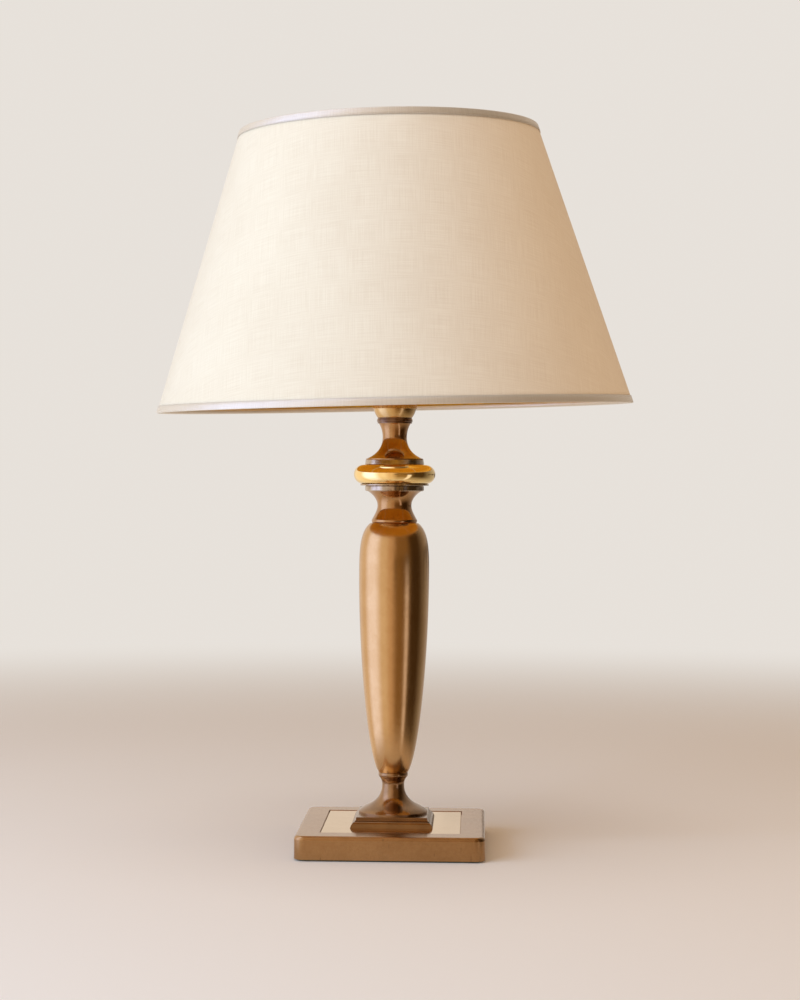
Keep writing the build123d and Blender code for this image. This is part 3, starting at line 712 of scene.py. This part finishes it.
@dataclass
class Bulb:
    """The opal bulb and its threaded cap."""

    pitch: float = 3.629 * MM
    crest: float = 0.42 * MM
    rows: int = 64
    steps: int = 96
    wall: float = 0.35 * MM

    def build(self) -> None:
        """Dress the bulb and press the thread into its cap."""
        dress(OPAL_GLASS.material(), "bulb_glass")
        dress(BLACK_GLASS.material(), "bulb_insulator")
        dress(SOLDER.material(), "bulb_tip")
        self.cap()

    def cap(self) -> None:
        """A cap whose thread winds up it, with a plain flared collar."""
        low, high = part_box("bulb_cap")
        collar = 2.0 * MM
        flare = high.x
        radius = flare - 1.3 * MM
        thread_top = high.z - collar - 1.0 * MM
        thread_bottom = low.z + 1.4 * MM
        outline = [(radius - 1.2 * MM, low.z), (radius - 0.4 * MM, low.z + 0.3 * MM)]
        for row in range(self.rows + 1):
            outline.append((radius, thread_bottom + (thread_top - thread_bottom) * row / self.rows))
        outline += [(radius, high.z - collar), (flare, high.z)]
        shape = spun(outline, self.steps)
        for vert in shape.verts:
            if thread_bottom <= vert.co.z <= thread_top:
                self.press(vert, radius, (thread_bottom, thread_top))
        cap = settle(shape, "bulb_cap_threaded", CAP_METAL.material())
        thicken(cap, self.wall)
        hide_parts("bulb_cap")
        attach(cap, "bulb")

    def press(self, vert: bmesh.types.BMVert, radius: float, span: Point) -> None:
        """Move one point of the cap in, as far as the thread's groove goes there.

        Args:
            vert: the point.
            radius: the thread's outer radius.
            span: the lowest and highest level of the thread.
        """
        turn = math.atan2(vert.co.y, vert.co.x) / (2 * math.pi)
        phase = 2 * math.pi * (vert.co.z / self.pitch - turn)
        ends = min(vert.co.z - span[0], span[1] - vert.co.z) / self.pitch
        depth = self.crest * (1 - math.cos(phase)) * min(1.0, 2 * ends)
        vert.co.xy *= (radius - depth) / radius


@dataclass
class Shade:
    """Empire shade: cotton cover, gold lining and ribbon bindings on a leaning cone."""

    bottom_radius: float = 199.9 * MM
    top_radius: float = 125.2 * MM
    height: float = 233.0 * MM
    level: float = 371.3 * MM
    lean: float = 1.95
    lean_towards: float = 220.0
    cover: float = 0.6 * MM
    lining: float = 0.5 * MM
    glue: float = 0.1 * MM
    wire: float = 1.4 * MM
    tape: float = 0.6 * MM
    tape_height: float = 5.4 * MM
    lap: float = 11.0 * MM
    ripple: float = 0.22 * MM
    steps: int = 240
    rows: int = 28

    def build(self) -> None:
        """Dress the fitter and make every soft skin."""
        dress(ENAMEL.material(), "shade_washer", "shade_arms", "bottom_wire", "top_wire")
        cloth = COVER_CLOTH.material()
        ribbon = BINDING_CLOTH.material()
        cover = self.skin("cover_cloth", 0.0, self.cover, cloth)
        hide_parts("shade_cover")
        lining = self.skin("lining_film", self.cover + self.glue, self.lining, LINING_FILM.material())
        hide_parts("shade_lining")
        pieces = [self.lap_strip(cloth)]
        for name, at_top in (("bottom_binding", False), ("top_binding", True)):
            pieces += self.binding(name, at_top, ribbon)
        for piece in [cover, lining, *pieces]:
            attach(piece, "shade")

    def placed(self) -> Matrix:
        """The leaning cone's place: its bottom centre on the axis."""
        towards = math.radians(self.lean_towards)
        axis = Vector((-math.sin(towards), math.cos(towards), 0))
        return Matrix.Translation((0, 0, self.level)) @ Matrix.Rotation(math.radians(self.lean), 4, axis)

    def radius(self, height: float) -> float:
        """Outer radius of the cover at a height above its bottom edge."""
        return self.bottom_radius - (self.bottom_radius - self.top_radius) * height / self.height

    def outline(self, inset: float) -> list[Point]:
        """The cone's half outline, at a distance inside the cover's outside."""
        levels = [self.height * row / self.rows for row in range(self.rows + 1)]
        return [(self.radius(level) - inset, level) for level in levels]

    def cone_sine(self) -> float:
        """Sine of the cone's half angle, which is its flat pattern's share of a full turn."""
        taper = self.bottom_radius - self.top_radius
        return taper / math.hypot(taper, self.height)

    def flat_place(self, place: Vector, turn: float) -> Point:
        """Where a point of the cone lies on its flat pattern.

        Args:
            place: the point in the cone's own frame.
            turn: its angle from the seam at the back.

        Returns:
            Flat metres, with the cloth's threads along both axes.
        """
        reach = math.hypot(place.x, place.y) / self.cone_sine()
        flat = (turn - math.pi) * self.cone_sine()
        return reach * math.sin(flat), reach * math.cos(flat)

    def rippled(self, shape: bmesh.types.BMesh) -> None:
        """Let a skin in the cone's own frame wave a little, the same way in every layer."""
        for vert in shape.verts:
            around = Vector((vert.co.x, vert.co.y, 0)).normalized()
            swell = noise.noise(Vector((around.x * 3.1, around.y * 3.1, vert.co.z * 5.0)))
            vert.co += around * swell * self.ripple

    def skin(
        self, name: str, inset: float, thickness: float, finish: bpy.types.Material
    ) -> bpy.types.Object:
        """One layer of the cone.

        Args:
            name: the piece's name.
            inset: how far its outside lies inside the cover's.
            thickness: the layer's thickness.
            finish: its material.

        Returns:
            The new piece.
        """
        shape = spun(self.outline(inset), self.steps)
        map_seamed(shape, self.flat_place)
        self.rippled(shape)
        shape.transform(self.placed())
        piece = settle(shape, name, finish)
        thicken(piece, thickness)
        return piece

    def lap_strip(self, finish: bpy.types.Material) -> bpy.types.Object:
        """The cover's end, in its finish, lapped over its start down the back."""
        shape = spun(self.outline(-self.cover), 8, angle=self.lap / self.bottom_radius)
        for vert in shape.verts:
            share = self.radius(vert.co.z) / self.bottom_radius
            turn = math.atan2(-vert.co.x, vert.co.y)
            spread = Matrix.Rotation(turn / share - turn, 3, "Z")
            vert.co = spread @ vert.co
        map_seamed(shape, self.flat_place)
        self.rippled(shape)
        shape.transform(self.placed())
        piece = settle(shape, "cover_lap", finish)
        thicken(piece, self.cover)
        return piece

    def binding(self, name: str, at_top: bool, finish: bpy.types.Material) -> list[bpy.types.Object]:
        """Ribbon folded over an edge of the cone and its wire, with its end lapped at the back.

        Args:
            name: the CAD node that it stands for.
            at_top: whether it is the upper edge.
            finish: its material.

        Returns:
            The ribbon and its lapped end.
        """
        outline = self.fold(at_top, 0.0)
        ribbon = self.ribbon(name + "_ribbon", outline, 2 * math.pi, self.steps, finish)
        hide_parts(name)
        reach = self.top_radius if at_top else self.bottom_radius
        end = self.ribbon(name + "_end", self.fold(at_top, 0.25 * MM), 1.3 * self.lap / reach, 10, finish)
        return [ribbon, end]

    def fold(self, at_top: bool, lift: float) -> list[Point]:
        """Outline of the folded ribbon.

        Args:
            at_top: whether it is on the upper edge.
            lift: how far the ribbon lies off the first layer.

        Returns:
            A closed outline of (radius, height).
        """
        direction = -1 if at_top else 1
        edge = self.height if at_top else 0.0
        centre = (self.cover + self.lining + 2 * self.glue + self.wire, self.wire)
        outside = self.glue + self.tape + lift
        bend = 0.9 * MM
        flat = [(-outside, self.tape_height), (-outside - 0.05 * MM, self.tape_height * 0.5)]
        flat += arc((-outside + bend, -outside + bend), bend, 180, 270, 4)
        flat += arc(centre, self.wire + outside, 270, 490, 14)
        flat += arc(centre, self.wire + self.glue + lift, 490, 270, 14)
        flat += [(-self.glue - lift, -self.glue - lift), (-self.glue - lift, self.tape_height)]
        places = [(inset, edge + direction * distance) for inset, distance in flat]
        return [(self.radius(height) - inset, height) for inset, height in places]

    def ribbon(
        self, name: str, outline: list[Point], angle: float, steps: int, finish: bpy.types.Material
    ) -> bpy.types.Object:
        """Run a ribbon's outline round the cone.

        Args:
            name: the piece's name.
            outline: the closed outline.
            angle: how far it runs.
            steps: how many steps the run takes.
            finish: its material.

        Returns:
            The new piece.
        """
        shape = spun(outline, steps, closed=True, angle=angle)
        if angle < 2 * math.pi:
            bmesh.ops.holes_fill(shape, edges=[edge for edge in shape.edges if edge.is_boundary])
            bmesh.ops.recalc_face_normals(shape, faces=shape.faces)
        length = outline[0][0]
        map_seamed(shape, lambda at, turn: (at.z - math.hypot(at.x, at.y), turn * length))
        for vert in shape.verts:
            around = Vector((vert.co.x, vert.co.y, 0)).normalized()
            vert.co += around * noise.noise(vert.co * 90.0) * 0.06 * MM
        self.rippled(shape)
        shape.transform(self.placed())
        piece = settle(shape, name, finish)
        return piece


def seam_turn(place: Vector) -> float:
    """Angle of a place from the seam at the back, from 0 to a full turn."""
    return math.atan2(-place.x, place.y) % (2 * math.pi)


def map_seamed(shape: bmesh.types.BMesh, flat_place: Callable[[Vector, float], Point]) -> None:
    """Write the flat UV map of a piece round the axis, with its cut at the seam.

    Args:
        shape: the mesh in the cone's own frame.
        flat_place: the UV place of a vertex's place and its angle from the seam.
    """
    layer = shape.loops.layers.uv.new(FLAT_MAP)
    for face in shape.faces:
        middle = seam_turn(face.calc_center_median())
        for loop in face.loops:
            turn = seam_turn(loop.vert.co)
            turn -= round((turn - middle) / (2 * math.pi)) * 2 * math.pi
            loop[layer].uv = flat_place(loop.vert.co, turn)


# ---------------------------------------------------------------- studio


@dataclass(frozen=True)
class Area:
    """One area of the mirrored room; its light runs over softly into the next area's."""

    start: float
    end: float
    tint: Colour
    level: float

    def stops(self) -> list[tuple[float, Colour]]:
        """Places on the room's ramp, from 0 to 1, with their colours."""
        colour = tuple(part * self.level for part in self.tint)
        return [(bearing / 360 + 0.5, colour) for bearing in sorted({self.start, self.end})]


PLASTER = (1.0, 0.9, 0.8)
DAYLIGHT = (0.6, 0.67, 1.0)
OAK = (1.0, 0.75, 0.55)
WALNUT = (1.0, 0.6, 0.25)

# Bearings in degrees from the front, positive to the right: walls, window, furniture and a doorway
ROOM = (
    Area(-180, -155, PLASTER, 0.8),
    Area(-140, -108, PLASTER, 1.0),
    Area(-90, -62, DAYLIGHT, 2.4),
    Area(-42, -28, PLASTER, 1.0),
    Area(-12, -6, OAK, 0.8),
    Area(12, 44, WALNUT, 0.3),
    Area(62, 92, WALNUT, 0.07),
    Area(140, 150, PLASTER, 0.45),
    Area(180, 180, PLASTER, 0.8),
)


@dataclass
class Studio:
    """Camera, lamps, world, floor and the room that polished metal mirrors."""

    camera_place: tuple[float, float, float] = (0.07065, -1.74936, 0.31134)
    camera_turn: float = 2.159
    camera_pitch: float = -0.598
    camera_roll: float = -0.265
    focal_pixels: float = 2068.2
    frame_height: int = 1000
    sensor: float = 36.0
    pale: Colour = (0.80, 0.755, 0.705)
    ambient: Colour = (0.40, 0.28, 0.17)
    bounce: Colour = (0.76, 0.63, 0.49)
    aim_height: float = 0.33
    floor_radius: float = 7.0
    fade: Point = (0.7, 2.2)
    table: Point = (0.13, 0.30)
    room_radius: float = 2.6
    low_wall: Point = (-0.2, -0.75)
    low_share: float = 0.5
    slim_start: Point = (0.64, 0.74)
    slim_end: Point = (0.84, 0.95)
    slim_top: Point = (0.16, 0.08)
    slim_colour: Colour = (1.05, 0.98, 1.10)
    clutter_scale: float = 1.7
    clutter_edge: Point = (0.45, 0.52)
    clutter_bottom: Point = (0.02, 0.06)
    clutter_top: Point = (0.19, 0.13)
    clutter_side: Point = (-0.05, 0.12)
    clutter_share: float = 0.85
    clutter_colour: Colour = (0.05, 0.03, 0.018)
    floor_colour: Colour = (0.86, 0.84, 0.86)

    def build(self) -> None:
        """Set up everything round the lamp."""
        scene = bpy.context.scene
        scene.view_settings.view_transform = "Standard"
        self.camera()
        self.world()
        self.floor()
        self.lamps()
        self.room()

    def camera(self) -> None:
        """Stand the camera where the photograph was taken from."""
        data = bpy.data.cameras.new("camera")
        data.sensor_width = self.sensor
        data.lens = self.sensor * self.focal_pixels / self.frame_height
        camera = bpy.data.objects.new("camera", data)
        turn = Matrix.Rotation(math.radians(self.camera_turn), 4, "Z")
        pitch = Matrix.Rotation(math.radians(self.camera_pitch), 4, "X")
        roll = Matrix.Rotation(math.radians(self.camera_roll), 4, "Y")
        upright = Matrix.Rotation(math.pi / 2, 4, "X")
        camera.matrix_world = Matrix.Translation(self.camera_place) @ turn @ pitch @ roll @ upright
        bpy.context.scene.collection.objects.link(camera)
        bpy.context.scene.camera = camera

    def world(self) -> None:
        """Plain ambient light, and a pale surround for what looks at it directly."""
        world = bpy.data.worlds.new("surround")
        bpy.context.scene.world = world
        world.use_nodes = True
        tree = Tree(world.node_tree)
        world.node_tree.nodes.clear()
        light = tree.node("Background", {"Color": self.ambient})
        pale = tree.node("Background", {"Color": self.pale})
        mixed = tree.mixed(self.seen(tree, tree.node("LightPath")), light, pale)
        tree.node("OutputWorld", {"Surface": mixed.outputs[0]})

    def seen(self, tree: Tree, path: bpy.types.Node) -> bpy.types.NodeSocket:
        """Whether a ray comes from the camera, a reflection or a transmission."""
        direct = tree.sum("MAXIMUM", path.outputs["Is Camera Ray"], path.outputs["Is Glossy Ray"])
        return tree.sum("MAXIMUM", direct, path.outputs["Is Transmission Ray"])

    def floor(self) -> None:
        """Pale floor that takes the shadow near the lamp and melts into the surround further out."""
        shape = bmesh.new()
        bmesh.ops.create_circle(shape, cap_ends=True, segments=96, radius=self.floor_radius)
        bmesh.ops.translate(shape, vec=(0, 0, -0.1 * MM), verts=shape.verts)
        floor = settle(shape, "floor", self.floor_material())
        floor.visible_shadow = False

    def floor_material(self) -> bpy.types.Material:
        """The floor's material, clear from below so that the underside can be looked at."""
        constants = {"Base Color": self.floor_colour, "Roughness": 0.9}
        material, tree, shader = new_material("floor_pale", constants)
        reach = tree.reach(tree.node("SeparateXYZ", {0: object_place(tree)}))
        glow = tree.node("Emission", {"Color": self.pale})
        melted = tree.mixed(tree.span(reach, *self.fade), shader, glow)
        path = tree.node("LightPath")
        # For diffuse rays the floor glows in the bounce colour: painted bounce light that lights the lamp
        # from below, though the floor is no lamp.
        bounce = tree.node("Emission", {"Color": self.bounce})
        even = tree.mixed(path.outputs["Is Diffuse Ray"], melted, bounce)
        back = tree.node("NewGeometry").outputs["Backfacing"]
        below = tree.sum("MULTIPLY", back, path.outputs["Is Camera Ray"])
        beyond = tree.sum("MULTIPLY", tree.span(reach, *self.table), path.outputs["Is Glossy Ray"])
        mixed = tree.mixed(tree.sum("MAXIMUM", below, beyond), even, tree.node("BsdfTransparent"))
        tree.fill(material.node_tree.nodes["Material Output"].inputs["Surface"], mixed.outputs[0])
        material.cycles.emission_sampling = "NONE"
        return material

    def lamp(
        self, name: str, bearing: float, reach: float, height: float, size: Point, power: float,
        colour: Colour,
    ) -> None:
        """Stand a soft lamp round the object.

        Args:
            name: the lamp's name.
            bearing: degrees from the front, positive to the right.
            reach: how far it stands from the column.
            height: its centre's height.
            size: its width and height.
            power: its power in watts.
            colour: its colour.
        """
        data = bpy.data.lights.new(name, "AREA")
        data.shape = "RECTANGLE"
        data.size, data.size_y = size
        data.energy = power
        data.color = colour
        lamp = bpy.data.objects.new(name, data)
        turn = math.radians(bearing)
        place = Vector((reach * math.sin(turn), -reach * math.cos(turn), height))
        aim = Vector((0, 0, self.aim_height)) - place
        lamp.matrix_world = Matrix.Translation(place) @ aim.to_track_quat("-Z", "Y").to_matrix().to_4x4()
        lamp.visible_glossy = False
        bpy.context.scene.collection.objects.link(lamp)

    def lamps(self) -> None:
        """A large window on the left, a dim, warm fill on the right and a soft light from above."""
        self.lamp("window_left", -50, 2.2, 0.75, (2.2, 1.6), 53.0, (0.60, 0.81, 1.0))
        self.lamp("warm_right", 80, 1.8, 0.6, (1.2, 1.2), 5.0, (1.0, 0.62, 0.30))
        self.lamp("soft_above", -20, 0.9, 2.6, (2.4, 2.4), 24.0, (1.0, 0.91, 0.80))

    def room(self) -> None:
        """A round room that only polished surfaces see, lit by its bearing from the front."""
        shape = bmesh.new()
        bmesh.ops.create_uvsphere(shape, u_segments=96, v_segments=48, radius=self.room_radius)
        room = settle(shape, "room", self.room_material())
        room.visible_camera = False
        room.visible_diffuse = False
        room.visible_transmission = False
        room.visible_shadow = False

    def room_material(self) -> bpy.types.Material:
        """The room's light: its areas, a slim bright gap and dark things along the horizon."""
        material = bpy.data.materials.new("room_mirrored")
        material.use_nodes = True
        tree = Tree(material.node_tree)
        place = tree.node("SeparateXYZ", {0: object_place(tree)})
        forward = tree.sum("MULTIPLY", place.outputs["Y"], -1.0)
        turn = tree.sum("ARCTAN2", place.outputs["X"], forward)
        level = tree.sum("DIVIDE", place.outputs["Z"], self.room_radius)
        low = tree.sum("MULTIPLY", tree.span(level, *self.low_wall), self.low_share)
        colour = tree.blend(low, self.ramp(tree, turn), self.bounce)
        slim = tree.sum("SUBTRACT", tree.span(turn, *self.slim_start), tree.span(turn, *self.slim_end))
        slim = tree.sum("MULTIPLY", slim, tree.span(level, *self.slim_top))
        colour = tree.blend(slim, colour, self.slim_colour)
        things = tree.span(tree.noise(object_place(tree), self.clutter_scale, 3.0), *self.clutter_edge)
        for value, limits in (
            (level, self.clutter_bottom), (level, self.clutter_top), (turn, self.clutter_side)
        ):
            things = tree.sum("MULTIPLY", things, tree.span(value, *limits))
        things = tree.sum("MULTIPLY", things, self.clutter_share)
        glow = tree.node("Emission", {"Color": tree.blend(things, colour, self.clutter_colour)})
        tree.fill(material.node_tree.nodes["Material Output"].inputs["Surface"], glow.outputs[0])
        material.cycles.emission_sampling = "NONE"
        return material

    def ramp(self, tree: Tree, turn: bpy.types.NodeSocket) -> bpy.types.NodeSocket:
        """The areas' light by bearing.

        Args:
            tree: the room's tree.
            turn: the bearing's socket, in radians.

        Returns:
            The light's colour socket.
        """
        ramp = tree.node("ValToRGB", {0: tree.sum("ADD", tree.sum("DIVIDE", turn, 2 * math.pi), 0.5)})
        elements = ramp.color_ramp.elements
        elements.remove(elements[-1])
        (first, colour), *others = [stop for area in ROOM for stop in area.stops()]
        elements[0].position = first
        elements[0].color = (*colour, 1.0)
        for position, colour in others:
            elements.new(position).color = (*colour, 1.0)
        return ramp.outputs[0]


def main() -> None:
    """Build the studio and every sub-assembly in order."""
    logging.basicConfig(level=logging.INFO, format="%(name)s %(message)s")
    for builder in (Studio(), Base(), Column(), LampHolder(), Bulb(), Shade()):
        log.info("building %s", type(builder).__name__)
        builder.build()


if __name__ == "__main__":
    main()
